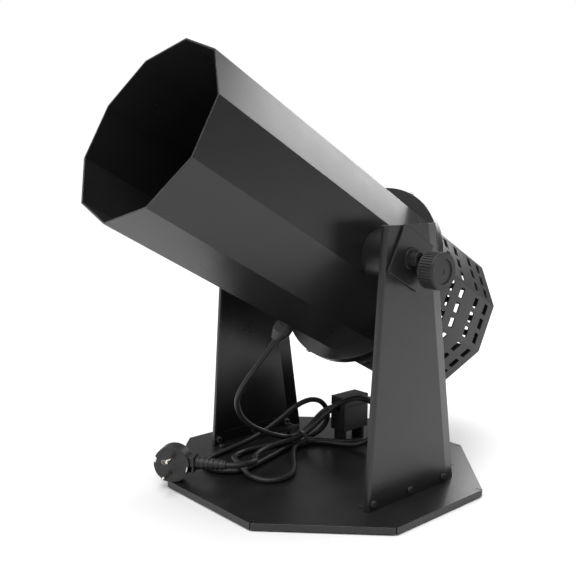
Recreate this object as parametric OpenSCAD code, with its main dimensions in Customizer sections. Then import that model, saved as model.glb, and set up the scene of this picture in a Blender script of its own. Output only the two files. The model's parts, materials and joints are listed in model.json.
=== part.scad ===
// Stage blower cannon on a tilt stand: a ten-sided barrel with a fan behind it,
// held between two uprights on an eight-sided base pan. Millimetres, +Z up,
// the mouth faces -Y, the tilt axis runs along X.

/* [Base] */
// Width of the base pan across its flats
base_w = 320; // [290:5:400]
// Thickness of the base sheet
base_t = 2; // [1.5:0.5:3]
// Height of the folded skirt, top face included
skirt_h = 6.5; // [5:0.5:12]
// Gap between the skirt and the ground
foot_gap = 1.5; // [1:0.5:4]
// Diameter of a rubber foot
foot_d = 24; // [18:1:30]

/* [Stand] */
// Distance between the outer faces of the two uprights
stand_w = 244; // [236:2:280]
// Height of the uprights above the base pan
stand_h = 268; // [260:2:320]
// Thickness of the upright sheet
stand_t = 2; // [1.5:0.5:3]
// Depth of the flat web at its foot
web_foot = 120; // [100:2:140]
// Depth of the flat web at its top
web_top = 60; // [56:2:90]
// Width of the folded front flange
flange_w = 6; // [5:0.5:12]
// Width of the folded rear strip
strip_w = 15; // [8:1:24]
// Fold angle of the rear strip
strip_a = 14; // [5:1:40]
// Leg of the angle that joins an upright to the base
angle_leg = 14; // [12:1:20]

/* [Tilt] */
// Height of the tilt axis above the base pan
pivot_h = 236.5; // [230:0.5:280]
// Rest angle of the barrel above the horizontal
tilt = 28; // [0:1:80]
// Lowest angle of the barrel
tilt_min = 0; // [0:1:20]
// Highest angle of the barrel
tilt_max = 80; // [30:1:80]
// Radius of the lock stud's arc about the tilt axis
lock_r = 16; // [15.8:0.1:17]
// Side of the square clamp plate
clamp_side = 48; // [44:1:52]
// Diameter of the lock knob
knob_d = 36; // [30:1:40]
// Length of the knob's grip
knob_l = 18; // [14:1:24]

/* [Barrel] */
// Radius to the corners of the barrel and guard
barrel_r = 90; // [86:1:94]
// Barrel length in front of the tilt axis
barrel_front = 236; // [160:2:280]
// Barrel length behind the tilt axis
barrel_back = 67; // [60:1:90]
// Thickness of the barrel and guard sheet
shell_t = 1.5; // [1:0.25:2]
// Outer radius of the round collar
collar_r = 102.5; // [98:0.5:108]
// Width of the collar
collar_w = 10; // [8:0.5:14]
// Length of the perforated guard
guard_l = 133; // [120:1:160]
// Length of a guard slot around the guard
slot_l = 12; // [8:0.5:13]
// Width of a guard slot along the guard
slot_w = 7.5; // [5:0.5:9]

/* [Fan] */
// Radius of the fan over its blade tips
fan_r = 70; // [55:1:72]
// Number of fan blades
blades = 6; // [3:1:9]
// Pitch of the fan blades
blade_pitch = 32; // [20:1:45]
// Radius of the motor body
motor_r = 28; // [22:1:34]
// Length of the motor body
motor_l = 50; // [36:1:54]

/* [Cord] */
// Diameter of the mains cord
cord_d = 6; // [5:0.5:6.5]

/* [Hidden] */
$fn = 48;

// running and rest clearances
gap = 0.3;        // between faces of different bodies
fit = 0.05;       // radial, shaft in its bore
seat = 0.05;      // radial, screw in its hole within one body

// base
base_top = foot_gap + skirt_h;
oct_turn = 22.5;

// uprights: front edge and rear fold, foot and top
front_foot = -63;
front_top = -48;
rear_foot = front_foot + web_foot;
rear_top = front_top + web_top;
stand_x = stand_w / 2;
stand_in = stand_x - stand_t;
stand_z = base_top + stand_h;
bend_r = 1;
angle_front = front_foot + stand_t + angle_leg * (front_top - front_foot) / stand_h + 0.8;
angle_back = rear_foot - angle_leg * (rear_foot - rear_top) / stand_h - 0.8;
screw_y = [angle_front + 3.5, (angle_front + angle_back) / 2, angle_back - 3.8];
screw_z = base_top + angle_leg * 0.5;
stand_screw_d = 4;

// tilt axis and head frame
pivot_y = -14.5;
pivot_z = base_top + pivot_h;
head_rise = 3;                    // barrel axis above the tilt axis
facet = 36;
flat_r = barrel_r * cos(facet / 2);
lock_a = 12.5;                    // lock stud below the barrel's axis line
sleeve_r = 7;
bolt_d = 8;
bolt_head_r = 6.5;
bolt_head_l = 8;
stud_d = 6;
disc_t = 1.5;
disc_x = stand_in - gap - disc_t;
block_r = 26;
plate_t = 2.5;
plate_x = stand_x + gap;
washer_r = 10.5;
washer_t = 1.6;
washer_x = plate_x + plate_t;
head_x = washer_x + washer_t;
knob_x = head_x + bolt_head_l + 0.8;
stud_in = 20;
knob_ribs = 40;

// collar, guard and motor along the barrel axis (Z of the head frame)
collar_front = -barrel_back;
collar_back = collar_front - collar_w;
guard_end_z = collar_back - guard_l;
collar_in = 74;
row_offsets = [for (pair = [0, 51], step = [15, 36]) pair + step];
rows = concat(row_offsets, [117]);
shaft_r = 4;
bracket_t = 2.5;
bracket_z = collar_back - bracket_t;
motor_front = bracket_z - gap;
cap_t = 5;
bearing_r = 11;
bearing_t = 5;
hub_r = 20;
hub_l = 26;
fan_z = collar_front + 6;
arms = 5;
arm_start = motor_r - 8;

// gland on the lower left facet, normal to it
gland_facet = -90 - facet / 2;
gland_z = -22;
gland_hex_r = 11;
gland_thread_r = 7.6;
gland_out = 24;

// cord route: points chosen by hand, from inside the gland to the plug
cord_r = cord_d / 2;
cord_points = [
    // down from the gland to the tie
    [-30.8, -38.1, 153.2], [-33.9, -42.6, 144.8], [-38.5, -49.5, 132], [-46, -60.5, 114.5], [-54, -70, 96],
    [-60, -74, 78], [-62.5, -68, 61], [-63, -54, 46], [-62.5, -36, 35], [-61.5, -18, 26.5],
    [-60.5, 0, 20.4], [-60.4, 13, 19.1],
    // up to the choke, through it and back down
    [-59, 25, 22], [-55.5, 32.5, 28.5], [-51.5, 38.5, 37.5], [-46.8, 43.2, 44.8], [-41.6, 50, 49.8],
    [-37.8, 58.5, 51], [-37, 80, 51], [-37, 109, 50.6], [-34, 123, 46], [-24, 133, 38],
    [-11, 133, 28], [-1.5, 122, 19], [0, 105, 12.6], [-8, 88, 11.1], [-18, 68, 11.1],
    [-32, 52.5, 11.1], [-48.5, 39.5, 11.1], [-56.6, 27, 11.8], [-57, 13, 12.6],
    // flat loop on the left of the pan
    [-53.5, -6, 11.6], [-43, -42, 11.1], [-33, -83, 11.1],
    [-38.5, -100, 11.1], [-53, -111, 11.1], [-71.5, -108.5, 11.1], [-84, -95, 11.1], [-89, -77, 11.1],
    [-91, -58, 12], [-88.5, -38, 16], [-82, -20, 24.5], [-73, -2, 38],
    // standing ring behind the tie
    [-67.5, 10, 48], [-62.5, 22, 55.5], [-57.5, 34, 59], [-54, 45.5, 56], [-52, 53.8, 47],
    [-52, 57, 35], [-55, 54, 23.5], [-60, 45, 15], [-63.6, 31, 11.7], [-63.9, 13, 12.6],
    // second flat loop, over the first one at the front
    [-67.5, -6, 11.6], [-75, -44, 11.1], [-72, -62, 11.9], [-61.5, -77, 14.6],
    [-46, -87.5, 17.9], [-28, -93.5, 17.6], [-10.5, -96, 13.6], [5, -89.5, 11.3], [12.4, -74, 11.1],
    [9, -57, 11.1], [-5, -40, 11.1], [-27, -21, 11.1], [-45, -2.5, 11.6],
    [-50.2, 13, 12.6],
    // standing loop in front of the choke, back down to the tie
    [-47.5, 28, 11.8], [-37, 40, 11.3], [-20, 48, 11.6], [-3, 56, 14], [7, 68, 21.5],
    [9, 80, 32.5], [3.5, 88.5, 45], [-7.5, 86.5, 56], [-17, 75, 62], [-21.6, 61.5, 62],
    [-28.5, 47.5, 56], [-36, 36.5, 45], [-44, 27, 32.5], [-50.8, 17, 22.8], [-53.8, 3, 18.8],
    // out along the pan to the plug
    [-55, -20, 18], [-51.5, -43, 18], [-40, -64.5, 19], [-21, -80.3, 23.4],
    [-14.6, -88.5, 25.4], [-12.4, -98.7, 26.5], [-15, -109.6, 26.8], [-22.3, -118.1, 26.8],
    [-27.9, -122.2, 26.8]
];
tie_x = -57.2;
tie_y = 13;
tie_r = 8.7;
tie_w = 5;
tie_t = 1.2;

// choke around the cord, standing on the pan
choke_x = -37;
choke_y = 79;
choke_z = 51;
choke_w = 40;
choke_d = 22;
choke_top = 62;
choke_low = 22;
core_r = 8;
choke_bore = cord_r + 1.5;

// plug standing on its rim at the front edge of the pan
plug_r = 18.75;
plug_face = [-59.5, -160, base_top + plug_r];
plug_turn = 36;                   // direction of the pins, from -Y towards +X
pin_lean = 13;                    // the pins' lean towards the cord
plug_depth = 15;
pin_r = 2.4;
pin_l = 19;
pin_gap = 19;
relief_l = 32;

steel_black = [0.09, 0.09, 0.1];
satin_black = [0.13, 0.13, 0.14];
zinc = [0.7, 0.71, 0.73];
rubber_black = [0.05, 0.05, 0.05];

// the row's origin is the middle of the overall box, on the ground
mouth_low = pivot_y + (head_rise - barrel_r) * sin(tilt) - barrel_front * cos(tilt);
guard_high = pivot_y + (head_rise + barrel_r) * sin(tilt) - guard_end_z * cos(tilt);
shift_y = -(mouth_low + guard_high) / 2;

// ---------- helpers ----------

// Moves the part so that its overall box is centred on the origin
module placed() {
    translate([0, shift_y, 0]) children();
}

// Octagon with its flats across X and Y
module octagon(w) {
    rotate(oct_turn) circle(r = w / 2 / cos(oct_turn), $fn = 8);
}

// Decagon with a corner up, flats to both sides
module decagon(r) {
    rotate(90) circle(r = r, $fn = 10);
}

module both_sides() {
    children();
    mirror([1, 0, 0]) children();
}

// Head frame: Z runs forward along the barrel, Y points up from it, X is the row's X
module head() {
    translate([0, pivot_y, pivot_z]) rotate([90 - tilt, 0, 0]) children();
}

// Barrel axis: the head frame raised onto the barrel's own axis
module on_axis() {
    head() translate([0, head_rise, 0]) children();
}

// Cylinder along X from x0 to x1
module x_rod(r, x0, x1) {
    translate([x0, 0, 0]) rotate([0, 90, 0]) cylinder(r = r, h = x1 - x0);
}

// Lock stud's place in the head frame
module at_lock() {
    head() translate([0, -lock_r * sin(lock_a), -lock_r * cos(lock_a)]) children();
}

// Pan-head screw along +Z with its head above the origin
module pan_screw(d, l, head_r, head_h) {
    difference() {
        union() {
            cylinder(r = head_r, h = head_h * 0.5);
            translate([0, 0, head_h * 0.5]) cylinder(r1 = head_r, r2 = head_r * 0.7, h = head_h * 0.5);
            translate([0, 0, -l]) cylinder(r = d / 2 - seat, h = l);
        }
        for (a = [0, 90]) rotate(a) translate([-head_r * 0.5, -0.4, head_h * 0.45])
            cube([head_r, 0.8, head_h]);
    }
}

// Local Z runs along a line of the YZ plane, from [y0, z0] to [y1, z1]
module along(y0, z0, y1, z1) {
    translate([0, y0, z0]) rotate([-atan2(y1 - y0, z1 - z0), 0, 0]) children();
}

// ---------- base ----------

module base_plate() color(satin_black) placed() difference() {
    translate([0, 0, foot_gap]) linear_extrude(skirt_h) octagon(base_w);
    translate([0, 0, foot_gap - 1]) linear_extrude(skirt_h - base_t + 1) octagon(base_w - 2 * base_t);
    // relief slit at each folded corner
    for (i = [0:7]) rotate(oct_turn + 45 * i)
        translate([base_w / 2 / cos(oct_turn) - 7, -0.6, foot_gap - 1]) cube([12, 1.2, skirt_h + 2]);
    for (a = [45:90:315]) rotate(a) translate([foot_r_place(), 0, 0]) cylinder(r = 2.05, h = 30);
    both_sides() for (y = screw_y) translate([stand_in - angle_leg * 0.6, y, 0])
        cylinder(r = 1.65, h = 30);
}

function foot_r_place() = base_w / 2 - foot_d * 0.5 - 8;

module base_feet() color(rubber_black) placed() for (a = [45:90:315]) rotate(a)
    translate([foot_r_place(), 0, 0]) difference() {
        cylinder(r1 = foot_d / 2 - 1.5, r2 = foot_d / 2, h = base_top - base_t);
        translate([0, 0, -1]) cylinder(r = 4.2, h = 3.6);
        cylinder(r = 2.05, h = 20);
    }

module foot_screws() color(steel_black) placed() for (a = [45:90:315]) rotate(a)
    translate([foot_r_place(), 0, 2.6]) rotate([180, 0, 0]) pan_screw(4, base_top - 2.6 - 0.2, 3.8, 2.2);

// ---------- stand ----------

// Upright on the +X side, folded from one sheet
module upright() difference() {
    intersection() {
        union() {
            web();
            along(front_foot, base_top, front_top, stand_z) translate([stand_in, stand_t + bend_r, -20])
                linear_extrude(stand_h + 40) mirror([0, 1]) fold(90, flange_w - stand_t - bend_r);
            along(rear_foot, base_top, rear_top, stand_z) translate([stand_in, 0, -20])
                linear_extrude(stand_h + 40) fold(strip_a, strip_w);
        }
        translate([0, -200, base_top]) cube([200, 400, stand_h]);
    }
    translate([0, pivot_y, pivot_z]) x_rod(sleeve_r + fit, 60, 200);
    lock_slot();
    for (y = screw_y) translate([0, y, screw_z]) x_rod(stand_screw_d / 2, 60, 200);
}

module web() translate([stand_in, 0, 0]) rotate([90, 0, 90]) linear_extrude(stand_t) polygon([
    [front_foot + 8, base_top], [rear_foot - 6, base_top],
    [rear_top - 6, stand_z], [front_top + 8, stand_z]
]);

// Section of the sheet from 12 before a fold to w past it; the fold turns through angle a
module fold(a, w) {
    steps = 3;
    past = w * [-sin(a), cos(a)];
    polygon(concat(
        [[0, -12], [stand_t, -12]],
        [for (i = [0:steps]) on_bend(bend_r + stand_t, a * i / steps)],
        [on_bend(bend_r + stand_t, a) + past, on_bend(bend_r, a) + past],
        [for (i = [steps:-1:0]) on_bend(bend_r, a * i / steps)]));
}

function on_bend(r, a) = [r * cos(a) - bend_r, r * sin(a)];

// Arc that the lock stud runs in, over the whole tilt
module lock_slot() {
    low = -(lock_a + tilt_max);
    high = -(lock_a + tilt_min);
    r0 = lock_r - stud_d / 2 - gap;
    translate([0, pivot_y, pivot_z]) rotate([90, 0, 90]) {
        rotate(low) rotate_extrude(angle = high - low) translate([r0, 0]) square([lock_slot_w(), 200]);
        for (a = [low, high]) rotate(a) translate([lock_r, 0, 0]) cylinder(d = lock_slot_w() - 0.2, h = 200);
    }
}

function lock_slot_w() = stud_d + 2 * gap;

module stand_right() color(satin_black) placed() upright();
module stand_left() color(satin_black) placed() mirror([1, 0, 0]) upright();

module angle_bracket() {
    y0 = angle_front;
    y1 = angle_back;
    translate([stand_in, y0, base_top]) mirror([1, 0, 0]) rotate([0, -90, -90]) difference() {
        linear_extrude(y1 - y0) polygon([
            [0, 0], [angle_leg, 0], [angle_leg, 1.5], [1.5, 1.5], [1.5, angle_leg], [0, angle_leg]
        ]);
        for (y = screw_y) {
            translate([angle_leg * 0.5, -1, y - y0]) rotate([-90, 0, 0]) cylinder(r = stand_screw_d / 2, h = 4);
            translate([-1, angle_leg * 0.6, y - y0]) rotate([0, 90, 0]) cylinder(r = 1.65, h = 4);
        }
    }
}

module angle_right() color(satin_black) placed() angle_bracket();
module angle_left() color(satin_black) placed() mirror([1, 0, 0]) angle_bracket();

module stand_screws() color(steel_black) placed() both_sides() for (y = screw_y)
    translate([stand_x, y, screw_z]) rotate([0, 90, 0]) pan_screw(stand_screw_d, 8, 3.8, 2.4);

module stand_nuts() color(zinc) placed() both_sides() for (y = screw_y)
    translate([stand_in - 1.5, y, screw_z]) rotate([0, -90, 0]) difference() {
        cylinder(r = 4, h = 3.2, $fn = 6);
        translate([0, 0, -1]) cylinder(r = stand_screw_d / 2, h = 6);
    }

module angle_rivets() color(steel_black) placed() both_sides() for (y = screw_y)
    translate([stand_in - angle_leg * 0.6, y, 0]) {
        translate([0, 0, base_top + 1.5]) cylinder(r1 = 3, r2 = 2, h = 1);
        translate([0, 0, base_top - base_t - 1]) cylinder(r = 1.6, h = base_t + 3);
        translate([0, 0, base_top - base_t - 1]) cylinder(r = 2.6, h = 1);
    }

// ---------- barrel, collar and guard ----------

module shell(z0, z1) translate([0, 0, z0]) linear_extrude(z1 - z0) difference() {
    decagon(barrel_r);
    decagon(barrel_r - shell_t / cos(facet / 2));
}

// Turns children onto the facet whose normal is at angle a
module on_facet(a, z) rotate(a) translate([flat_r, 0, z]) rotate([0, 90, 0]) children();

module barrel() color(steel_black) placed() difference() {
    on_axis() shell(collar_front, barrel_front);
    both_sides() {
        head() x_rod(bolt_d / 2 + fit, 60, 120);
        block_screw_places() cylinder(r = 2.05, h = 40, center = true);
    }
    on_axis() on_facet(gland_facet, gland_z) cylinder(r = gland_thread_r + seat, h = 20, center = true);
}

module collar() color(steel_black) placed() difference() {
    on_axis() rotate_extrude($fn = 120) polygon([
        [collar_in, collar_back], [collar_r, collar_back], [collar_r, collar_front],
        [collar_in, collar_front], [collar_in, collar_front - 1.5],
        [collar_r - 1.5, collar_front - 1.5], [collar_r - 1.5, collar_back + 1.5],
        [collar_in, collar_back + 1.5]
    ]);
    collar_screw_places() cylinder(r = 1.55, h = 12, center = true);
    bracket_screw_places() cylinder(r = 2.05, h = 12, center = true);
    guard_tab_places() translate([-4, 0, 0]) rotate([0, -90, 0]) cylinder(r = 1.6, h = 12, center = true);
}

// Small screws around the collar's rim
module collar_screw_places() on_axis() for (a = [12:60:312]) rotate(a)
    translate([collar_r, 0, (collar_front + collar_back) / 2]) rotate([0, 90, 0]) children();

module collar_screws() color(zinc) placed() collar_screw_places() pan_screw(3, 1.5, 2.8, 1.8);

module guard() color(steel_black) placed() difference() {
    on_axis() shell(guard_end_z, collar_back);
    on_axis() for (i = [0:9], row = rows) on_facet(i * facet, guard_end_z + row)
        for (j = [-1:1]) translate([-slot_w / 2, j * slot_pitch() - slot_l / 2, -6])
            cube([slot_w, slot_l, 12]);
    guard_tab_places() rotate([0, 90, 0]) translate([-4, 0, 0]) cylinder(r = 1.6, h = 12, center = true);
    on_axis() for (i = [0:9]) rotate((i + 0.5) * facet)
        translate([0, -fold_cut / 2, guard_end_z - 1])
            cube([2 * barrel_r, fold_cut, collar_back - guard_end_z + 2]);
}

// The ten flats of the guard are separate strips, a hair apart along the folds
fold_cut = 0.05;

function slot_pitch() = 17.4;

// Perforated plate that closes the guard's rear end
module guard_end() color(steel_black) placed() on_axis() translate([0, 0, guard_end_z]) difference() {
    linear_extrude(shell_t) decagon(barrel_r - (shell_t + seat) / cos(facet / 2));
    for (y = [-54:18:54], x = [-60:30:60]) if (norm([abs(x) + 11, abs(y) + 5]) < 76)
        translate([x - 11, y - 5.5, -1]) cube([22, 11, shell_t + 2]);
}

// Folded tabs that hold the guard to the collar, one on every other facet
module guard_tab_places() on_axis() for (i = [0:2:8]) rotate(i * facet)
    translate([flat_r - shell_t - seat, 0, collar_back]) children();

module guard_tabs() color(steel_black) placed() guard_tab_places() difference() {
    union() {
        translate([-1.5, -7, -9]) cube([1.5, 14, 9]);
        translate([-9, -7, -1.5]) cube([9, 14, 1.5]);
    }
    translate([0, 0, -4]) rotate([0, 90, 0]) cylinder(r = 1.6, h = 12, center = true);
    translate([-4, 0, 0]) cylinder(r = 1.6, h = 12, center = true);
}

// ---------- tilt joint ----------

module block_screw_places() for (s = [-1, 1]) head()
    translate([flat_r, s * 17, 8]) rotate([0, 90, 0]) children();

module pivot_blocks() color(satin_black) placed() both_sides() difference() {
    head() x_rod(block_r, flat_r, disc_x);
    head() x_rod(bolt_d / 2 + seat, 60, 200);
    at_lock() x_rod(stud_d / 2 + seat, disc_x - stud_in, 200);
    block_screw_places() cylinder(r = 2.05, h = 24, center = true);
}

module block_screws() color(zinc) placed() both_sides() block_screw_places()
    translate([0, 0, -shell_t]) rotate([180, 0, 0]) pan_screw(4, 12, 3.8, 2.4);

module friction_discs() color([0.35, 0.28, 0.2]) placed() both_sides() difference() {
    head() x_rod(block_r - 1, disc_x, disc_x + disc_t);
    head() x_rod(sleeve_r + seat, 60, 200);
    at_lock() x_rod(stud_d / 2 + seat, 60, 200);
}

module pivot_sleeves() color(zinc) placed() both_sides() head() difference() {
    x_rod(sleeve_r, disc_x, plate_x);
    x_rod(bolt_d / 2 + seat, 60, 200);
}

module clamp_plates() color(steel_black) placed() both_sides() difference() {
    head() translate([plate_x, -clamp_side / 2, -clamp_side / 2]) cube([plate_t, clamp_side, clamp_side]);
    head() x_rod(bolt_d / 2 + seat, 60, 200);
    at_lock() x_rod(stud_d / 2 + seat, 60, 200);
}

module pivot_washers() color(steel_black) placed() both_sides() head() difference() {
    x_rod(washer_r, washer_x, head_x);
    x_rod(bolt_d / 2 + seat, 60, 200);
}

module pivot_bolts() color(steel_black) placed() both_sides() head() difference() {
    union() {
        x_rod(bolt_head_r, head_x, head_x + bolt_head_l);
        x_rod(bolt_d / 2, flat_r + 4, head_x);
    }
    translate([head_x + bolt_head_l - 4, 0, 0]) rotate([0, 90, 0]) cylinder(r = 3.4, h = 8, $fn = 6);
}

module lock_studs() color(zinc) placed() both_sides() at_lock()
    x_rod(stud_d / 2, disc_x - stud_in, knob_x + knob_l - 6);

// Ribbed grip with a stepped hub
module knob() at_lock() difference() {
    union() {
        x_rod(knob_d / 2 - 1, knob_x, knob_x + knob_l);
        x_rod(knob_d / 2 - 0.4, knob_x + 1, knob_x + 2.4);
        x_rod(knob_d / 2, knob_x + knob_l - 2.6, knob_x + knob_l - 0.6);
        for (i = [0:knob_ribs - 1]) rotate([i * 360 / knob_ribs, 0, 0])
            translate([knob_x + 0.6, -0.7, knob_d / 2 - 2]) cube([knob_l - 1.8, 1.4, 1.8]);
        x_rod(8, head_x + gap, knob_x);
        x_rod(4.6, washer_x + gap, head_x + gap);
    }
    x_rod(stud_d / 2 + fit, washer_x - 1, knob_x + knob_l - 6 + gap);
    x_rod(knob_d / 2 - 6, knob_x + knob_l - 2, knob_x + knob_l + 1);
}

module knob_right() color(rubber_black) placed() knob();
module knob_left() color(rubber_black) placed() mirror([1, 0, 0]) knob();

module knob_cap() at_lock() difference() {
    x_rod(knob_d / 2 - 6 - seat, knob_x + knob_l - 2, knob_x + knob_l - 1.2);
    x_rod(3, knob_x + knob_l - 1.6, knob_x + knob_l);
}

module knob_cap_right() color(satin_black) placed() knob_cap();
module knob_cap_left() color(satin_black) placed() mirror([1, 0, 0]) knob_cap();

// ---------- motor and fan ----------

module bracket_screw_places() on_axis() for (i = [0:arms - 1]) rotate(90 + i * 360 / arms)
    translate([collar_in + 4.5, 0, bracket_z]) children();

module motor_bracket() color(steel_black) placed() difference() {
    on_axis() translate([0, 0, bracket_z]) difference() {
        union() {
            cylinder(r = motor_r + 4, h = bracket_t);
            for (i = [0:arms - 1]) rotate(90 + i * 360 / arms) translate([arm_start, -7, 0])
                cube([flat_r - shell_t - 2.5 - arm_start, 14, bracket_t]);
        }
        translate([0, 0, -1]) cylinder(r = bearing_r + 1, h = 10);
    }
    bracket_screw_places() cylinder(r = 2.05, h = 12, center = true);
}

module bracket_screws() color(zinc) placed() bracket_screw_places() rotate([180, 0, 0])
    pan_screw(4, bracket_t + 1.5 + 1, 3.8, 2.4);

module motor_can() color([0.5, 0.51, 0.53]) placed() on_axis()
    translate([0, 0, motor_front - cap_t - (motor_l - 2 * cap_t)]) difference() {
        cylinder(r = motor_r, h = motor_l - 2 * cap_t);
        translate([0, 0, -1]) cylinder(r = motor_r - 3, h = motor_l);
    }

module motor_end(z) on_axis() translate([0, 0, z]) difference() {
    cylinder(r = motor_r, h = cap_t);
    translate([0, 0, -1]) cylinder(r = bearing_r + seat, h = cap_t + 2);
}

module motor_end_front() color(zinc) placed() motor_end(motor_front + gap - cap_t);
module motor_end_rear() color(zinc) placed() motor_end(motor_front - motor_l);

module motor_bearings() color([0.8, 0.8, 0.82]) placed() on_axis()
    for (z = [motor_front + gap - cap_t, motor_front - motor_l]) translate([0, 0, z]) difference() {
        cylinder(r = bearing_r, h = bearing_t);
        translate([0, 0, -1]) cylinder(r = shaft_r + fit, h = bearing_t + 2);
    }

module motor_shaft() color(zinc) placed() on_axis() {
    translate([0, 0, motor_front - motor_l - 2]) cylinder(r = shaft_r, h = fan_z + hub_l - 2 - motor_front + motor_l);
    translate([0, 0, motor_front - motor_l + cap_t + 2]) cylinder(r = motor_r - 6, h = motor_l - 2 * cap_t - 4);
}

module fan_hub() color(steel_black) placed() on_axis() translate([0, 0, fan_z]) difference() {
    union() {
        cylinder(r = hub_r, h = hub_l - 4);
        translate([0, 0, hub_l - 4]) cylinder(r1 = hub_r, r2 = hub_r - 5, h = 4);
    }
    translate([0, 0, -1]) cylinder(r = shaft_r + seat, h = hub_l - 2);
}

module fan_blades() color(steel_black) placed()
    on_axis() translate([0, 0, fan_z + hub_l / 2]) intersection() {
    difference() {
        for (i = [0:blades - 1]) rotate(i * 360 / blades) rotate([blade_pitch, 0, 0])
            translate([0, -16, -1]) cube([fan_r, 32, 2]);
        cylinder(r = hub_r + 0.02, h = 100, center = true);
    }
    cylinder(r = fan_r, h = 60, center = true);
}

module on_guard_wall(a) on_axis() rotate(a) translate([flat_r - shell_t, 0, 0]) children();

module capacitor() color([0.85, 0.85, 0.83]) placed() on_guard_wall(144)
    translate([-10.6, 0, collar_back - 62]) difference() {
        cylinder(r = 10, h = 44);
        translate([0, 0, 42]) difference() {
            cylinder(r = 9, h = 3);
            for (x = [-4, 4]) translate([x, 0, -1]) cylinder(r = 1.5, h = 5);
        }
    }

module capacitor_clip() color(zinc) placed() on_guard_wall(144) translate([-10.6, 0, collar_back - 46]) {
    difference() {
        cylinder(r = 10.6, h = 12);
        translate([0, 0, -1]) cylinder(r = 10 + seat, h = 14);
    }
}

module terminal_block() color([0.9, 0.9, 0.88]) placed() on_guard_wall(-144)
    translate([-12, -14, collar_back - 40]) difference() {
        cube([12, 28, 14]);
        for (y = [4.5, 14, 23.5]) {
            translate([6, y, -1]) cylinder(r = 2, h = 20);
            translate([-1, y, 7]) rotate([0, 90, 0]) cylinder(r = 1.8, h = 4);
        }
    }

// ---------- cable gland ----------

module at_gland() on_axis() on_facet(gland_facet, gland_z) children();

module gland_body() color(rubber_black) placed() at_gland() difference() {
    union() {
        translate([0, 0, -9]) cylinder(r = gland_thread_r, h = 12);
        cylinder(r = gland_hex_r, h = 5, $fn = 6);
        translate([0, 0, 4]) cylinder(r = gland_thread_r, h = 9);
    }
    translate([0, 0, -12]) cylinder(r = cord_r + 1.6, h = 40);
}

module gland_cap() color(rubber_black) placed() at_gland() translate([0, 0, 5.2]) difference() {
    union() {
        cylinder(r = gland_hex_r - 0.5, h = 9, $fn = 12);
        translate([0, 0, 9]) cylinder(r1 = gland_hex_r - 1, r2 = cord_r + 2.6, h = gland_out - 5.2 - 9);
    }
    translate([0, 0, -1]) cylinder(r = gland_thread_r + seat, h = 9);
    cylinder(r = cord_r + gap, h = 40);
}

module gland_seal() color([0.25, 0.25, 0.25]) placed() at_gland() translate([0, 0, 5]) difference() {
    cylinder(r = cord_r + 1.5, h = 8);
    translate([0, 0, -1]) cylinder(r = cord_r + seat, h = 12);
}

module gland_locknut() color(rubber_black) placed()
    at_gland() translate([0, 0, -shell_t - 4]) difference() {
    cylinder(r = gland_hex_r, h = 4, $fn = 6);
    translate([0, 0, -1]) cylinder(r = gland_thread_r + seat, h = 6);
}

// ---------- cord ----------

function unit(v) = v / norm(v);

function tangent_at(q, i) = unit(q[min(i + 1, len(q) - 1)] - q[max(i - 1, 0)]);

// Carries the side vector n along the path so that the sections don't twist
function carry(q, i, n) = let (t = tangent_at(q, i)) unit(n - (n * t) * t);

function frames(q, i, n, done) =
    i >= len(q) ? done : let (m = carry(q, i, n)) frames(q, i + 1, m, concat(done, [m]));

module tube(q, r, sides) {
    sides_at = frames(q, 0, [0.3, 0.2, 1], []);
    rings = [for (i = [0:len(q) - 1]) let (t = tangent_at(q, i), n = sides_at[i], b = cross(t, n))
        for (k = [0:sides - 1]) q[i] + r * (cos(k * 360 / sides) * n + sin(k * 360 / sides) * b)];
    last = (len(q) - 1) * sides;
    polyhedron(rings, concat(
        [[for (k = [0:sides - 1]) sides - 1 - k]],
        [for (i = [0:len(q) - 2], k = [0:sides - 1]) let (m = (k + 1) % sides)
            [i * sides + k, i * sides + m, (i + 1) * sides + m, (i + 1) * sides + k]],
        [[for (k = [0:sides - 1]) last + k]]));
}

module power_cord() color(rubber_black) placed() tube(cord_points, cord_r, 8);

// Strap around the bundle
module cord_tie() color(rubber_black) placed()
    translate([tie_x, tie_y - tie_w / 2, base_top + 0.2 + tie_t + tie_r]) rotate([-90, 0, 0])
        linear_extrude(tie_w) difference() {
            tie_outline(tie_t);
            tie_outline(0);
        }

module tie_outline(grow) {
    for (x = [-6, 6]) translate([x, 0]) circle(r = tie_r + grow);
    translate([-6, -tie_r - grow]) square([12, 2 * (tie_r + grow)]);
}

module choke_case() color(satin_black) placed() difference() {
    translate([choke_x - choke_d / 2, choke_y - choke_w / 2, choke_low])
        cube([choke_d, choke_w, choke_top - choke_low]);
    translate([choke_x, choke_y - choke_w / 2 + 3, choke_z]) rotate([-90, 0, 0])
        cylinder(r = core_r + seat, h = choke_w - 6);
    translate([choke_x, 0, choke_z]) rotate([-90, 0, 0]) cylinder(r = choke_bore, h = 200);
    // parting groove between the two halves
    for (s = [-1, 1]) translate([choke_x + s * choke_d / 2 - 0.5, choke_y - 30, choke_z - 0.5])
        cube([1, 60, 1]);
}

module choke_core() color([0.2, 0.2, 0.21]) placed()
    translate([choke_x, choke_y - choke_w / 2 + 3, choke_z])
    rotate([-90, 0, 0]) difference() {
        cylinder(r = core_r, h = choke_w - 6);
        translate([0, 0, -1]) cylinder(r = choke_bore, h = choke_w);
    }

module choke_feet() color(satin_black) placed() for (s = [-1, 1])
    translate([choke_x - choke_d / 2 + 3, choke_y + s * (choke_w / 2 - 5) - 2, base_top])
        cube([choke_d - 6, 4, choke_low - base_top]);

// ---------- plug ----------

// Plug frame: Z along the pins, X along the cord, origin on the plug's face
module at_plug() translate(plug_face) rotate([0, 0, plug_turn]) rotate([90, 0, 0]) children();

module at_pins() at_plug() rotate(-pin_lean) children();

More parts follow.
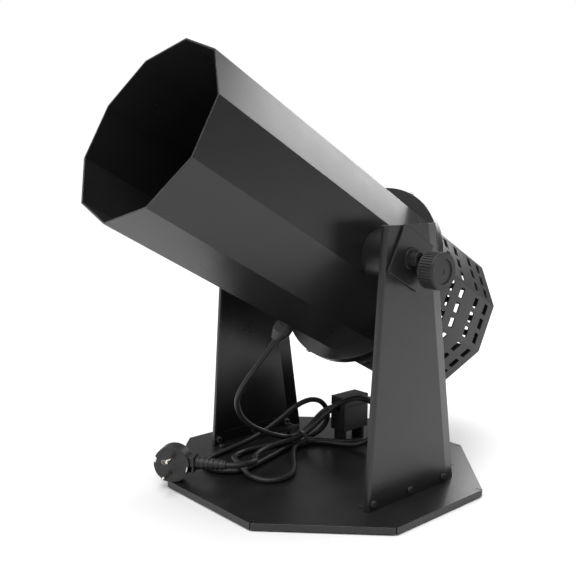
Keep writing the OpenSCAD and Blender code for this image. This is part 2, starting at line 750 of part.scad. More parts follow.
module plug_body() color(rubber_black) placed() difference() {
    at_plug() {
        translate([0, 0, -plug_depth]) cylinder(r = plug_r, h = plug_depth);
        translate([0, 0, -plug_depth - 6]) cylinder(r1 = plug_r - 4, r2 = plug_r, h = 6);
        translate([0, -8, -plug_depth - 4]) cube([plug_r + 4, 16, 16]);
    }
    // side notches for the earth clips
    at_pins() for (s = [-1, 1]) translate([s * plug_r - 2.5, -3.2, -plug_depth + 4]) cube([5, 6.4, 40]);
    at_pins() translate([-8.5, 0, -10]) cylinder(r = 2.6, h = 20);
    pin_places() translate([0, 0, -8]) cylinder(r = pin_r + seat, h = 20);
}

module pin_places() at_pins() for (s = [-1, 1]) translate([0, s * pin_gap / 2, 0]) children();

module plug_pins() color(zinc) placed() pin_places() {
    translate([0, 0, -8]) cylinder(r = pin_r, h = 8 + pin_l - 2);
    translate([0, 0, pin_l - 2]) cylinder(r1 = pin_r, r2 = pin_r - 1.2, h = 2);
}

module plug_earth() color([0.8, 0.8, 0.75]) placed() at_pins() {
    for (s = [-1, 1]) translate([s * (plug_r - 1.8) - 0.6, -2.6, -plug_depth + 4])
        cube([1.2, 5.2, plug_depth - 4]);
    translate([-8.5, 0, -10]) difference() {
        cylinder(r = 2.6 - seat, h = 9.4);
        translate([0, 0, 1]) cylinder(r = 2, h = 12);
    }
}

module plug_relief() color(rubber_black) placed()
    at_plug() translate([plug_r + 4, 0, -plug_depth / 2 - 4.5])
    rotate([0, 90, 0]) difference() {
        union() {
            cylinder(r1 = 6.4, r2 = 4.4, h = relief_l);
            for (i = [0:5]) translate([0, 0, 2 + i * 5]) cylinder(r = 6.8 - i * 0.32, h = 2.2);
        }
        translate([0, 0, relief_l - 8]) cylinder(r = cord_r + seat, h = 20);
    }

base_plate();
base_feet();
foot_screws();
stand_left();
stand_right();
angle_left();
angle_right();
stand_screws();
stand_nuts();
angle_rivets();
barrel();
collar();
collar_screws();
guard();
guard_end();
guard_tabs();
pivot_blocks();
block_screws();
friction_discs();
pivot_sleeves();
clamp_plates();
pivot_washers();
pivot_bolts();
lock_studs();
knob_left();
knob_right();
knob_cap_left();
knob_cap_right();
motor_bracket();
bracket_screws();
motor_can();
motor_end_front();
motor_end_rear();
motor_bearings();
motor_shaft();
fan_hub();
fan_blades();
capacitor();
capacitor_clip();
terminal_block();
gland_body();
gland_cap();
gland_seal();
gland_locknut();
power_cord();
cord_tie();
choke_case();
choke_core();
choke_feet();
plug_body();
plug_pins();
plug_earth();
plug_relief();
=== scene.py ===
"""Visual model of a stage blower cannon on a tilt stand.

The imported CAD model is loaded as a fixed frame. Classes below dress its nodes with procedural finishes
and add the smooth mains cord and the strap that ties it. All lengths are metres.
"""

from __future__ import annotations

import json
import logging
import math
from dataclasses import dataclass
from enum import Enum
from typing import Dict, Iterable, List, Sequence, Tuple

import bmesh
import bpy
from mathutils import Matrix, Vector

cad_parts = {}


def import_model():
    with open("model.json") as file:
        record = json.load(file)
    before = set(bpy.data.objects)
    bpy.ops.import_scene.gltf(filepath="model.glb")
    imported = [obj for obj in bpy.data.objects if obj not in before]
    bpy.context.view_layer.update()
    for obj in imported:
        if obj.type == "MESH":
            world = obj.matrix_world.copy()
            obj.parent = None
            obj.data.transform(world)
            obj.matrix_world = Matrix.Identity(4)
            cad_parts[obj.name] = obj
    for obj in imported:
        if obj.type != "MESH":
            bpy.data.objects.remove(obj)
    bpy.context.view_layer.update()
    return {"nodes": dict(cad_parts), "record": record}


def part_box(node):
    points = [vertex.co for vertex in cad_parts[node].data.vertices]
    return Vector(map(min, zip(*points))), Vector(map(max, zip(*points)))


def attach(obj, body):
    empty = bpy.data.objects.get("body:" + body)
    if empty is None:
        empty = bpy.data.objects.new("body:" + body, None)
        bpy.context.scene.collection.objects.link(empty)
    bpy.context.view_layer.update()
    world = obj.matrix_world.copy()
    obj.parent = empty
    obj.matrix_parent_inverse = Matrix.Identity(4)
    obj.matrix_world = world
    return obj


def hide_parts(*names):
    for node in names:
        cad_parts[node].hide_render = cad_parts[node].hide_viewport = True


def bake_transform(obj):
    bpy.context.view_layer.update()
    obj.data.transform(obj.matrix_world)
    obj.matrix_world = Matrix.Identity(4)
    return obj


Point = Tuple[float, float, float]
Colour = Tuple[float, float, float]

logging.basicConfig(level=logging.INFO, format="%(name)s: %(message)s")
LOG = logging.getLogger("blower")

DUST_COLOUR: Colour = (0.42, 0.41, 0.39)
COAT_ROUGHNESS = 0.15

# Any direction that the cord never runs along; the tube's first corner is laid towards it.
FIRST_CORNER = Vector((0.3, 0.2, 1.0))

# The cord's route from inside the gland to inside the plug's strain relief,
# seen from the middle of the pan.
CORD_ROUTE: Tuple[Point, ...] = (
    (-0.0308, -0.0381, 0.1532), (-0.0339, -0.0426, 0.1448), (-0.0385, -0.0495, 0.132),
    (-0.046, -0.0605, 0.1145), (-0.054, -0.07, 0.096), (-0.06, -0.074, 0.078),
    (-0.0625, -0.068, 0.061), (-0.063, -0.054, 0.046), (-0.0625, -0.036, 0.035),
    (-0.0615, -0.018, 0.0265), (-0.0605, 0, 0.0204), (-0.0604, 0.013, 0.0191), (-0.059, 0.025, 0.022),
    (-0.0555, 0.0325, 0.0285), (-0.0515, 0.0385, 0.0375), (-0.0468, 0.0432, 0.0448),
    (-0.0416, 0.05, 0.0498), (-0.0378, 0.0585, 0.051), (-0.037, 0.08, 0.051), (-0.037, 0.109, 0.0506),
    (-0.034, 0.123, 0.046), (-0.024, 0.133, 0.038), (-0.011, 0.133, 0.028), (-0.0015, 0.122, 0.019),
    (0, 0.105, 0.0126), (-0.008, 0.088, 0.0111), (-0.018, 0.068, 0.0111), (-0.032, 0.0525, 0.0111),
    (-0.0485, 0.0395, 0.0111), (-0.0566, 0.027, 0.0118), (-0.057, 0.013, 0.0126),
    (-0.0535, -0.006, 0.0116), (-0.043, -0.042, 0.0111), (-0.033, -0.083, 0.0111),
    (-0.0385, -0.1, 0.0111), (-0.053, -0.111, 0.0111), (-0.0715, -0.1085, 0.0111),
    (-0.084, -0.095, 0.0111), (-0.089, -0.077, 0.0111), (-0.091, -0.058, 0.012),
    (-0.0885, -0.038, 0.016), (-0.082, -0.02, 0.0245), (-0.073, -0.002, 0.038), (-0.0675, 0.01, 0.048),
    (-0.0625, 0.022, 0.0555), (-0.0575, 0.034, 0.059), (-0.054, 0.0455, 0.056),
    (-0.052, 0.0538, 0.047), (-0.052, 0.057, 0.035), (-0.055, 0.054, 0.0235), (-0.06, 0.045, 0.015),
    (-0.0636, 0.031, 0.0117), (-0.0639, 0.013, 0.0126), (-0.0675, -0.006, 0.0116),
    (-0.075, -0.044, 0.0111), (-0.072, -0.062, 0.0119), (-0.0615, -0.077, 0.0146),
    (-0.046, -0.0875, 0.0179), (-0.028, -0.0935, 0.0176), (-0.0105, -0.096, 0.0136),
    (0.005, -0.0895, 0.0113), (0.0124, -0.074, 0.0111), (0.009, -0.057, 0.0111),
    (-0.005, -0.04, 0.0111), (-0.027, -0.021, 0.0111), (-0.045, -0.0025, 0.0116),
    (-0.0502, 0.013, 0.0126), (-0.0475, 0.028, 0.0118), (-0.037, 0.04, 0.0113), (-0.02, 0.048, 0.0116),
    (-0.003, 0.056, 0.014), (0.007, 0.068, 0.0215), (0.009, 0.08, 0.0325), (0.0035, 0.0885, 0.045),
    (-0.0075, 0.0865, 0.056), (-0.017, 0.075, 0.062), (-0.0216, 0.0615, 0.062),
    (-0.0285, 0.0475, 0.056), (-0.036, 0.0365, 0.045), (-0.044, 0.027, 0.0325),
    (-0.0508, 0.017, 0.0228), (-0.0538, 0.003, 0.0188), (-0.055, -0.02, 0.018),
    (-0.0515, -0.043, 0.018), (-0.04, -0.0645, 0.019), (-0.021, -0.0803, 0.0234),
    (-0.0146, -0.0885, 0.0254), (-0.0124, -0.0987, 0.0265), (-0.015, -0.1096, 0.0268),
    (-0.0223, -0.1181, 0.0268), (-0.0279, -0.1222, 0.0268),
)


class Group(Enum):
    """The shader effects that several finishes share."""

    EDGE = "EdgeWear"
    GRAIN = "SurfaceGrain"
    DUST = "SettledDust"
    HANDLING = "HandlingMarks"


# ---------------------------------------------------------------------------------------------------------
# Shader groups
# ---------------------------------------------------------------------------------------------------------


class ShaderGroups:
    """Builds each shared effect once and places it in materials."""

    def __init__(self) -> None:
        """Makes the four node groups."""
        self.trees: Dict[Group, bpy.types.NodeTree] = {
            Group.EDGE: self._edge_wear(),
            Group.GRAIN: self._surface_grain(),
            Group.DUST: self._settled_dust(),
            Group.HANDLING: self._handling_marks(),
        }

    @staticmethod
    def _new(group: Group, inputs: Sequence[Tuple[str, float]], outputs: Sequence[Tuple[str, str]]):
        """Makes an empty group with its sockets.

        Args:
            group: Which effect it is.
            inputs: Name and default of each value input.
            outputs: Name and socket type of each output.

        Returns:
            The node tree, its input node and its output node.
        """
        tree = bpy.data.node_groups.new(group.value, "ShaderNodeTree")
        for name, default in inputs:
            socket = tree.interface.new_socket(name=name, in_out="INPUT", socket_type="NodeSocketFloat")
            socket.default_value = default
        for name, kind in outputs:
            tree.interface.new_socket(name=name, in_out="OUTPUT", socket_type=kind)
        return tree, tree.nodes.new("NodeGroupInput"), tree.nodes.new("NodeGroupOutput")

    @staticmethod
    def _math(tree: bpy.types.NodeTree, kind: str, a, b, clamp: bool = False) -> bpy.types.NodeSocket:
        """Adds a math node.

        Args:
            tree: The tree it goes in.
            kind: The operation's name.
            a: First operand, a socket or a number.
            b: Second operand, a socket or a number.
            clamp: Whether the result stays within 0 and 1.

        Returns:
            The result's socket.
        """
        node = tree.nodes.new("ShaderNodeMath")
        node.operation = kind
        node.use_clamp = clamp
        for slot, value in zip(node.inputs, (a, b)):
            if isinstance(value, bpy.types.NodeSocket):
                tree.links.new(value, slot)
            else:
                slot.default_value = value
        return node.outputs[0]

    def _noise(self, tree: bpy.types.NodeTree, scale, detail: float, rough: float = 0.55):
        """Adds a noise texture in the object's own metres.

        Args:
            tree: The tree it goes in.
            scale: Features per metre, a socket or a number.
            detail: Octaves.
            rough: Strength of the finer octaves.

        Returns:
            The noise value's socket.
        """
        place = tree.nodes.new("ShaderNodeTexCoord")
        noise = tree.nodes.new("ShaderNodeTexNoise")
        tree.links.new(place.outputs["Object"], noise.inputs["Vector"])
        noise.inputs["Detail"].default_value = detail
        noise.inputs["Roughness"].default_value = rough
        if isinstance(scale, bpy.types.NodeSocket):
            tree.links.new(scale, noise.inputs["Scale"])
        else:
            noise.inputs["Scale"].default_value = scale
        return noise.outputs["Fac"]

    def _edge_wear(self) -> bpy.types.NodeTree:
        """Returns a group that rounds edges for the light and marks where they rub bare."""
        tree, source, sink = self._new(
            Group.EDGE,
            (("Radius", 0.0008), ("Wear", 0.3)),
            (("Mask", "NodeSocketFloat"), ("Normal", "NodeSocketVector")),
        )
        bevel = tree.nodes.new("ShaderNodeBevel")
        bevel.samples = 4
        tree.links.new(source.outputs["Radius"], bevel.inputs["Radius"])
        flat = tree.nodes.new("ShaderNodeNewGeometry")
        dot = tree.nodes.new("ShaderNodeVectorMath")
        dot.operation = "DOT_PRODUCT"
        tree.links.new(bevel.outputs["Normal"], dot.inputs[0])
        tree.links.new(flat.outputs["True Normal"], dot.inputs[1])
        turned = self._math(tree, "SUBTRACT", 1.0, dot.outputs["Value"], True)
        edge = self._math(tree, "MULTIPLY", turned, 3.0, True)
        patch = self._math(tree, "SUBTRACT", self._noise(tree, 260.0, 4.0), 0.42, True)
        patch = self._math(tree, "MULTIPLY", patch, 4.0, True)
        worn = self._math(tree, "MULTIPLY", edge, patch)
        worn = self._math(tree, "MULTIPLY", worn, source.outputs["Wear"], True)
        tree.links.new(worn, sink.inputs["Mask"])
        tree.links.new(bevel.outputs["Normal"], sink.inputs["Normal"])
        return tree

    def _surface_grain(self) -> bpy.types.NodeTree:
        """Returns a group with a finish's fine relief and its slow change of tone."""
        tree, source, sink = self._new(
            Group.GRAIN,
            (("Scale", 900.0), ("Pits", 0.2)),
            (("Height", "NodeSocketFloat"), ("Tone", "NodeSocketFloat")),
        )
        peel = self._noise(tree, source.outputs["Scale"], 2.0)
        fine = self._noise(tree, self._math(tree, "MULTIPLY", source.outputs["Scale"], 3.1), 3.0, 0.7)
        dips = self._math(tree, "LESS_THAN", fine, 0.36)
        pits = self._math(tree, "MULTIPLY", dips, source.outputs["Pits"])
        relief = self._math(tree, "ADD", peel, self._math(tree, "MULTIPLY", fine, 0.35))
        tree.links.new(self._math(tree, "SUBTRACT", relief, pits), sink.inputs["Height"])
        tree.links.new(self._noise(tree, 14.0, 5.0), sink.inputs["Tone"])
        return tree

    def _settled_dust(self) -> bpy.types.NodeTree:
        """Returns a group that marks the dust on faces that look up."""
        tree, source, sink = self._new(
            Group.DUST, (("Amount", 0.1),), (("Mask", "NodeSocketFloat"),)
        )
        flat = tree.nodes.new("ShaderNodeNewGeometry")
        parts = tree.nodes.new("ShaderNodeSeparateXYZ")
        tree.links.new(flat.outputs["Normal"], parts.inputs[0])
        up = self._math(tree, "SUBTRACT", parts.outputs["Z"], 0.35, True)
        up = self._math(tree, "MULTIPLY", up, 1.5, True)
        cloud = self._math(tree, "SUBTRACT", self._noise(tree, 22.0, 6.0, 0.65), 0.38, True)
        haze = self._math(tree, "MULTIPLY", self._math(tree, "MULTIPLY", cloud, 1.6, True), up)
        mask = self._math(tree, "MULTIPLY", haze, source.outputs["Amount"], True)
        tree.links.new(mask, sink.inputs["Mask"])
        return tree

    def _handling_marks(self) -> bpy.types.NodeTree:
        """Returns a group whose value swings the roughness where hands and cloths have been."""
        tree, source, sink = self._new(Group.HANDLING, (("Amount", 0.1),), (("Shift", "NodeSocketFloat"),))
        smear = self._math(tree, "SUBTRACT", self._noise(tree, 30.0, 3.0, 0.6), 0.5)
        fine = self._math(tree, "SUBTRACT", self._noise(tree, 420.0, 2.0, 0.5), 0.5)
        swing = self._math(tree, "ADD", smear, self._math(tree, "MULTIPLY", fine, 0.4))
        tree.links.new(self._math(tree, "MULTIPLY", swing, source.outputs["Amount"]), sink.inputs["Shift"])
        return tree

    def place(self, tree: bpy.types.NodeTree, group: Group, **values: float) -> bpy.types.Node:
        """Puts a group in a material.

        Args:
            tree: The material's tree.
            group: Which effect.
            **values: Input values by name.

        Returns:
            The group node.
        """
        node = tree.nodes.new("ShaderNodeGroup")
        node.node_tree = self.trees[group]
        for name, value in values.items():
            node.inputs[name].default_value = value
        return node


# ---------------------------------------------------------------------------------------------------------
# Finishes
# ---------------------------------------------------------------------------------------------------------


@dataclass(frozen=True)
class Finish:
    """One real surface: its colour, gloss, relief, wear and dust."""

    slot: str
    colour: Colour
    roughness: float
    metallic: float = 0.0
    worn_colour: Colour = (0.35, 0.35, 0.36)
    wear: float = 0.3
    edge_radius: float = 0.0006
    grain_scale: float = 900.0
    grain_depth: float = 0.00002
    grain_strength: float = 0.25
    pits: float = 0.0
    tone_swing: float = 0.15
    dust: float = 0.1
    handling: float = 0.12
    coat: float = 0.0
    specular: float = 0.5

    def build(self, groups: ShaderGroups) -> bpy.types.Material:
        """Makes the material.

        Args:
            groups: The shared effects.

        Returns:
            The finished material.
        """
        material = bpy.data.materials.new(self.slot)
        material.use_nodes = True
        tree = material.node_tree
        shader = tree.nodes["Principled BSDF"]
        edge = groups.place(tree, Group.EDGE, Radius=self.edge_radius, Wear=self.wear)
        grain = groups.place(tree, Group.GRAIN, Scale=self.grain_scale, Pits=self.pits)
        dust = groups.place(tree, Group.DUST, Amount=self.dust)
        marks = groups.place(tree, Group.HANDLING, Amount=self.handling)
        dark = tuple(c * (1 - self.tone_swing) for c in self.colour)
        light = tuple(min(1.0, c * (1 + self.tone_swing)) for c in self.colour)
        tone = self._mix(tree, grain.outputs["Tone"], dark, light)
        rubbed = self._mix(tree, edge.outputs["Mask"], tone, self.worn_colour)
        dusty = self._mix(tree, dust.outputs["Mask"], rubbed, DUST_COLOUR)
        tree.links.new(dusty, shader.inputs["Base Color"])
        rough = tree.nodes.new("ShaderNodeMath")
        rough.operation = "ADD"
        rough.use_clamp = True
        rough.inputs[1].default_value = self.roughness
        tree.links.new(marks.outputs["Shift"], rough.inputs[0])
        tree.links.new(rough.outputs[0], shader.inputs["Roughness"])
        shader.inputs["Metallic"].default_value = self.metallic
        shader.inputs["Specular IOR Level"].default_value = self.specular
        shader.inputs["Coat Weight"].default_value = self.coat
        shader.inputs["Coat Roughness"].default_value = COAT_ROUGHNESS
        bump = tree.nodes.new("ShaderNodeBump")
        bump.inputs["Strength"].default_value = self.grain_strength
        bump.inputs["Distance"].default_value = self.grain_depth
        tree.links.new(grain.outputs["Height"], bump.inputs["Height"])
        tree.links.new(edge.outputs["Normal"], bump.inputs["Normal"])
        tree.links.new(bump.outputs["Normal"], shader.inputs["Normal"])
        return material

    @staticmethod
    def _mix(tree: bpy.types.NodeTree, factor: bpy.types.NodeSocket, a, b) -> bpy.types.NodeSocket:
        """Mixes two colours.

        Args:
            tree: The material's tree.
            factor: How much of the second one shows.
            a: First colour, a socket or three numbers.
            b: Second colour, a socket or three numbers.

        Returns:
            The mixed colour's socket.
        """
        node = tree.nodes.new("ShaderNodeMix")
        node.data_type = "RGBA"
        tree.links.new(factor, node.inputs["Factor"])
        sockets = [s for s in node.inputs if s.type == "RGBA"]
        for slot, value in zip(sockets, (a, b)):
            if isinstance(value, bpy.types.NodeSocket):
                tree.links.new(value, slot)
            else:
                slot.default_value = (*value, 1.0)
        return next(s for s in node.outputs if s.type == "RGBA")


FINISHES: Tuple[Finish, ...] = (
    Finish("satin_black_paint", (0.011, 0.011, 0.0115), 0.3, wear=0.3, edge_radius=0.0009,
           grain_scale=620.0, grain_depth=0.00004, grain_strength=0.16, tone_swing=0.2, dust=0.03,
           handling=0.12),
    Finish("black_steel", (0.014, 0.014, 0.015), 0.36, wear=0.45, grain_scale=1500.0, dust=0.04),
    Finish("bright_zinc", (0.62, 0.63, 0.64), 0.3, metallic=1.0, wear=0.1, grain_scale=1800.0, dust=0.15),
    Finish("foot_rubber", (0.022, 0.022, 0.022), 0.78, wear=0.1, grain_scale=1400.0, grain_strength=0.5),
    Finish("friction_lining", (0.16, 0.11, 0.07), 0.85, wear=0.2, grain_scale=1100.0, grain_strength=0.6),
    Finish("motor_alloy", (0.45, 0.46, 0.48), 0.48, metallic=1.0, wear=0.1, grain_scale=700.0,
           grain_depth=0.00008, grain_strength=0.5, pits=0.3),
    Finish("capacitor_plastic", (0.6, 0.59, 0.55), 0.5, wear=0.0, dust=0.3),
    Finish("terminal_plastic", (0.68, 0.67, 0.62), 0.45, wear=0.0, dust=0.3),
    Finish("gland_plastic", (0.03, 0.03, 0.031), 0.45, wear=0.12, grain_scale=1700.0, dust=0.12),
    Finish("fan_plastic", (0.028, 0.028, 0.03), 0.4, wear=0.1, dust=0.35),
    Finish("knob_plastic", (0.018, 0.018, 0.019), 0.5, wear=0.2, edge_radius=0.0005, grain_scale=2400.0,
           grain_strength=0.5, dust=0.05),
    Finish("cord_sheath", (0.014, 0.014, 0.0145), 0.46, wear=0.0, grain_scale=1300.0, grain_depth=0.00006,
           grain_strength=0.3, dust=0.04, edge_radius=0.0002),
    Finish("tie_plastic", (0.025, 0.025, 0.026), 0.4, wear=0.1, edge_radius=0.0003),
    Finish("choke_plastic", (0.02, 0.02, 0.021), 0.5, wear=0.2, edge_radius=0.0012, grain_scale=2000.0),
    Finish("ferrite", (0.06, 0.06, 0.065), 0.6, wear=0.1, grain_strength=0.6),
    Finish("plug_rubber", (0.016, 0.016, 0.0165), 0.44, wear=0.15, edge_radius=0.0009, grain_scale=1900.0,
           grain_strength=0.35, dust=0.04),
    Finish("pin_nickel", (0.68, 0.66, 0.61), 0.24, metallic=1.0, wear=0.1, grain_scale=2500.0, dust=0.05),
)


class Wardrobe:
    """Holds every finish's material and dresses CAD nodes and new pieces with it."""

    def __init__(self, groups: ShaderGroups, finishes: Iterable[Finish]) -> None:
        """Builds one material for each finish.

        Args:
            groups: The shared effects.
            finishes: The finishes to make.
        """
        self.materials = {finish.slot: finish.build(groups) for finish in finishes}

    def dress(self, piece: bpy.types.Object, slot: str) -> None:
        """Gives a piece one finish.

        Args:
            piece: The object to dress.
            slot: The finish's name.
        """
        piece.data.materials.clear()
        piece.data.materials.append(self.materials[slot])

    def dress_nodes(self, nodes: Dict[str, bpy.types.Object], record: dict) -> None:
        """Gives each CAD node the finish that the record names.

        Args:
            nodes: The CAD nodes by name.
            record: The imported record.
        """
        for part in record["subparts"]:
            self.dress(nodes[part["node"]], part["material_slot"])
            LOG.info("node %s wears %s", part["node"], part["material_slot"])


# ---------------------------------------------------------------------------------------------------------
# Pieces made here
# ---------------------------------------------------------------------------------------------------------


def mesh_object(name: str, verts: Sequence[Vector], faces: Sequence[Sequence[int]], smooth: bool):
    """Makes a mesh object.

    Args:
        name: The piece's name.
        verts: Its corners in the row frame.
        faces: Its faces, as lists of corner numbers.
        smooth: Whether its faces are shaded smooth.

    Returns:
        The new object, linked to the scene.
    """
    mesh = bpy.data.meshes.new(name)
    mesh.from_pydata([tuple(v) for v in verts], [], [tuple(f) for f in faces])
    work = bmesh.new()
    work.from_mesh(mesh)
    bmesh.ops.recalc_face_normals(work, faces=work.faces)
    work.to_mesh(mesh)
    work.free()
    for face in mesh.polygons:
        face.use_smooth = smooth
    piece = bpy.data.objects.new(name, mesh)
    bpy.context.scene.collection.objects.link(piece)
    return piece


def smooth_path(points: Sequence[Vector], steps: int) -> List[Vector]:
    """Runs a smooth curve through points.

    Args:
        points: The points it passes through.
        steps: Pieces that each stretch is cut into.

    Returns:
        The curve's points, the first and last of which are the given ones.
    """
    out: List[Vector] = []
    last = len(points) - 1
    for i in range(last):
        a, b = points[max(i - 1, 0)], points[i]
        c, d = points[i + 1], points[min(i + 2, last)]
        for k in range(steps):
            t = k / steps
            out.append(
                0.5 * (2 * b + (c - a) * t + (2 * a - 5 * b + 4 * c - d) * t * t
                       + (3 * b - a - 3 * c + d) * t * t * t)
            )
    out.append(points[last].copy())
    return out


def sweep(name: str, path: Sequence[Vector], radii: Sequence[float], sides: int) -> bpy.types.Object:
    """Sweeps a round section along a path.

    Args:
        name: The piece's name.
        path: The centreline.
        radii: The radius at each point of the path.
        sides: Corners of the section.

    Returns:
        The closed tube.
    """
    side = FIRST_CORNER.copy()
    verts: List[Vector] = []
    for i, point in enumerate(path):
        along = (path[min(i + 1, len(path) - 1)] - path[max(i - 1, 0)]).normalized()
        side = (side - side.dot(along) * along).normalized()
        across = along.cross(side)
        for k in range(sides):
            turn = 2 * math.pi * k / sides
            verts.append(point + radii[i] * (math.cos(turn) * side + math.sin(turn) * across))
    faces: List[List[int]] = [list(range(sides))[::-1]]
    for i in range(len(path) - 1):
        for k in range(sides):
            m = (k + 1) % sides
            faces.append([i * sides + k, i * sides + m, (i + 1) * sides + m, (i + 1) * sides + k])
    start = (len(path) - 1) * sides
    faces.append(list(range(start, start + sides)))
    return mesh_object(name, verts, faces, True)


@dataclass
class PowerCord:
    """The mains cord, from the gland through the tied bundle and the choke to the plug."""

    origin: Vector
    diameter: float = 0.006
    steps: int = 6
    sides: int = 14
    still_below: float = 0.078
    rigid_above: float = 0.145

    def path(self) -> List[Vector]:
        """Returns the centreline in the row frame."""
        return smooth_path([Vector(p) + self.origin for p in CORD_ROUTE], self.steps)

    def build(self, wardrobe: Wardrobe, riders: Sequence[bpy.types.Object]) -> bpy.types.Object:
        """Args:
            wardrobe: The finishes.
            riders: The tie, the choke's and the plug's pieces. Not used.

        Returns:
            The cord.
        """
        path = self.path()
        cord = sweep("mains_cord", path, [self.diameter / 2] * len(path), self.sides)
        wardrobe.dress(cord, "cord_sheath")
        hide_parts("power_cord")
        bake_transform(cord)
        return cord


@dataclass
class CordTie:
    """The strap round the bundle, with its head and its cut tail.

    Shares are parts of the strap's own width or thickness, and tail_height is part of the head's.
    """

    width: float = 0.005
    thick: float = 0.0011
    round_steps: int = 12
    head: Tuple[float, float, float] = (0.0046, 0.0068, 0.0062)
    tail: float = 0.012
    sunk: float = 0.002
    tail_height: float = 0.45
    tail_share: float = 0.9
    chamfer_share: float = 0.22
    head_shift: float = 0.2

    def build(self, wardrobe: Wardrobe) -> bpy.types.Object:
        """Makes the strap inside the CAD band's own box.

        Args:
            wardrobe: The finishes.

        Returns:
            The strap.
        """
        low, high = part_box("cord_tie")
        mid = (low + high) / 2
        radius = (high.z - low.z) / 2
        half = (high.x - low.x) / 2 - radius
        loop: List[Tuple[float, float]] = []
        for side, start in ((1, -90.0), (-1, 90.0)):
            for k in range(self.round_steps + 1):
                turn = math.radians(start + 180.0 * k / self.round_steps)
                loop.append((side * half + radius * math.cos(turn), radius * math.sin(turn)))
        verts: List[Vector] = []
        for x, z in loop:
            away = Vector((x, 0.0, z))
            inward = away - away.normalized() * self.thick
            for corner in (away, inward):
                for y in (-self.width / 2, self.width / 2):
                    verts.append(mid + Vector((corner.x, y, corner.z)))
        faces: List[List[int]] = []
        count = len(loop)
        for i in range(count):
            a, b = 4 * i, 4 * ((i + 1) % count)
            for p, q in ((0, 1), (1, 3), (3, 2), (2, 0)):
                faces.append([a + p, a + q, b + q, b + p])
        strap = mesh_object("cord_strap", verts, faces, False)
        self._add_head(strap, mid + Vector((-half * self.head_shift, 0.0, radius)))
        wardrobe.dress(strap, "tie_plastic")
        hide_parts("cord_tie")
        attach(strap, "base")
        return strap

    def _add_head(self, strap: bpy.types.Object, place: Vector) -> None:
        """Adds the locking head and the tail to the strap's mesh.

        Args:
            strap: The strap to add to.
            place: The middle of the head's foot.
        """
        work = bmesh.new()
        work.from_mesh(strap.data)
        tail = (self.tail, self.width * self.tail_share, self.thick * self.tail_share)
        sizes = (self.head, tail)
        shifts = (Vector((0.0, 0.0, self.head[2] / 2 - self.sunk)),
                  Vector((-self.tail / 2 - self.sunk, 0.0, self.head[2] * self.tail_height)))
        for size, shift in zip(sizes, shifts):
            made = bmesh.ops.create_cube(work, size=1.0)["verts"]
            bmesh.ops.scale(work, vec=Vector(size), verts=made)
            bmesh.ops.translate(work, vec=place + shift, verts=made)
            edges = list({e for v in made for e in v.link_edges})
            chamfer = min(size) * self.chamfer_share
            bmesh.ops.bevel(work, geom=edges, offset=chamfer, segments=2, affect="EDGES")
        work.to_mesh(strap.data)
        work.free()


# ---------------------------------------------------------------------------------------------------------
# Stage
# ---------------------------------------------------------------------------------------------------------


@dataclass
class Viewpoint:
    """The camera, seen from the middle of the pan."""

    origin: Vector
    place: Point = (0.5914, -0.5931, 0.3236)
    azimuth: float = 47.76
    pitch: float = 8.37
    roll: float = 0.634
    lens: float = 49.64
    sensor: float = 36.0

    def build(self) -> bpy.types.Object:
        """Makes the camera and sets it as the scene's own."""
        turn, dip, lean = (math.radians(v) for v in (self.azimuth, self.pitch, self.roll))
        ahead = Vector((-math.sin(turn) * math.cos(dip), math.cos(turn) * math.cos(dip), -math.sin(dip)))
        right = Vector((math.cos(turn), math.sin(turn), 0.0))
        up = right.cross(ahead)
        side = right * math.cos(lean) + up * math.sin(lean)
        top = up * math.cos(lean) - right * math.sin(lean)
        data = bpy.data.cameras.new("view")
        data.lens, data.sensor_width = self.lens, self.sensor
        data.clip_start, data.clip_end = 0.02, 50.0
        camera = bpy.data.objects.new("view", data)
        turned = Matrix((side, top, -ahead)).transposed().to_4x4()
        camera.matrix_world = Matrix.Translation(Vector(self.place) + self.origin) @ turned
        bpy.context.scene.collection.objects.link(camera)
        bpy.context.scene.camera = camera
        return camera


@dataclass(frozen=True)
class Softbox:
    """One soft area light."""

    name: str
    place: Point
    aim: Point
    size: Tuple[float, float]
    power: float

    def build(self) -> bpy.types.Object:
        """Makes the light, turned to its aim."""
        data = bpy.data.lights.new(self.name, "AREA")
        data.shape = "RECTANGLE"
        data.size, data.size_y = self.size
        data.energy = self.power
        light = bpy.data.objects.new(self.name, data)
        light.location = self.place
        light.rotation_mode = "QUATERNION"
        light.rotation_quaternion = (Vector(self.aim) - Vector(self.place)).to_track_quat("-Z", "Y")
        bpy.context.scene.collection.objects.link(light)
        return light


SOFTBOXES: Tuple[Softbox, ...] = (
    Softbox("overhead_softbox", (0.1, -0.5, 1.9), (0.0, 0.0, 0.2), (1.2, 1.2), 8.0),
    Softbox("rear_softbox", (-0.42, 1.45, 0.9), (0.0, 0.0, 0.35), (0.7, 0.8), 9.0),
    Softbox("front_softbox", (-1.5, -1.3, 0.9), (0.0, 0.0, 0.25), (1.0, 1.0), 5.0),
)


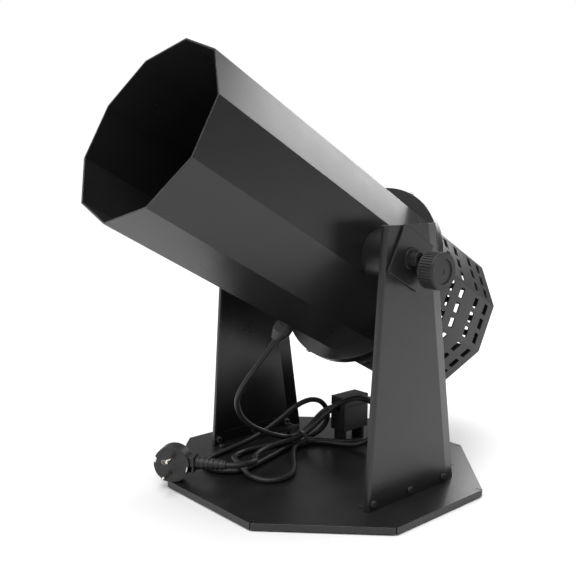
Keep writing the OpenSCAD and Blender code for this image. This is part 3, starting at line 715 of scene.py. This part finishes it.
@dataclass
class Studio:
    """The pale floor, the white surround and the soft lights."""

    floor_size: float = 90.0
    floor_tone: float = 0.88
    floor_roughness: float = 0.7
    surround: float = 0.26
    daylight: float = 3.25
    daylight_spread: float = 70.0
    daylight_aim: Point = (-0.1, 0.35, -1.0)

    def build(self) -> None:
        """Makes the floor, the world and the lights."""
        half = self.floor_size / 2
        signs = ((-1, -1), (1, -1), (1, 1), (-1, 1))
        corners = [Vector((x * half, y * half, 0.0)) for x, y in signs]
        floor = mesh_object("studio_floor", corners, [[0, 1, 2, 3]], False)
        material = bpy.data.materials.new("studio_floor")
        material.use_nodes = True
        shader = material.node_tree.nodes["Principled BSDF"]
        shader.inputs["Base Color"].default_value = (self.floor_tone, self.floor_tone, self.floor_tone, 1.0)
        shader.inputs["Roughness"].default_value = self.floor_roughness
        floor.data.materials.append(material)
        self._surround()
        self._daylight()
        for softbox in SOFTBOXES:
            softbox.build()
        bpy.context.scene.view_settings.view_transform = "Standard"


    def _surround(self) -> None:
        """Makes a world that looks white and lights the object softly."""
        world = bpy.data.worlds.new("surround")
        world.use_nodes = True
        tree = world.node_tree
        back = tree.nodes["Background"]
        back.inputs["Color"].default_value = (1.0, 1.0, 1.0, 1.0)
        path = tree.nodes.new("ShaderNodeLightPath")
        level = tree.nodes.new("ShaderNodeMapRange")
        level.inputs["To Min"].default_value = self.surround
        level.inputs["To Max"].default_value = 1.0
        tree.links.new(path.outputs["Is Camera Ray"], level.inputs["Value"])
        tree.links.new(level.outputs["Result"], back.inputs["Strength"])
        bpy.context.scene.world = world

    def _daylight(self) -> None:
        """Makes one wide, soft light from high in front, which keeps the floor white."""
        data = bpy.data.lights.new("daylight", "SUN")
        data.energy = self.daylight
        data.angle = math.radians(self.daylight_spread)
        light = bpy.data.objects.new("daylight", data)
        light.rotation_mode = "QUATERNION"
        light.rotation_quaternion = Vector(self.daylight_aim).to_track_quat("-Z", "Y")
        bpy.context.scene.collection.objects.link(light)


def main() -> None:
    """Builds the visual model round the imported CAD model."""
    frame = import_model()
    low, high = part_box("base_plate")
    pan_middle = Vector(((low.x + high.x) / 2, (low.y + high.y) / 2, 0.0))
    Viewpoint(pan_middle).build()
    Studio().build()
    wardrobe = Wardrobe(ShaderGroups(), FINISHES)
    wardrobe.dress_nodes(frame["nodes"], frame["record"])
    tie = CordTie().build(wardrobe)
    riders = [tie] + [frame["nodes"][n] for n in frame["record"]["physics"]["cord_nodes"]
                      if n not in ("power_cord", "cord_tie")]
    PowerCord(pan_middle).build(wardrobe, riders)


if __name__ == "__main__":
    main()
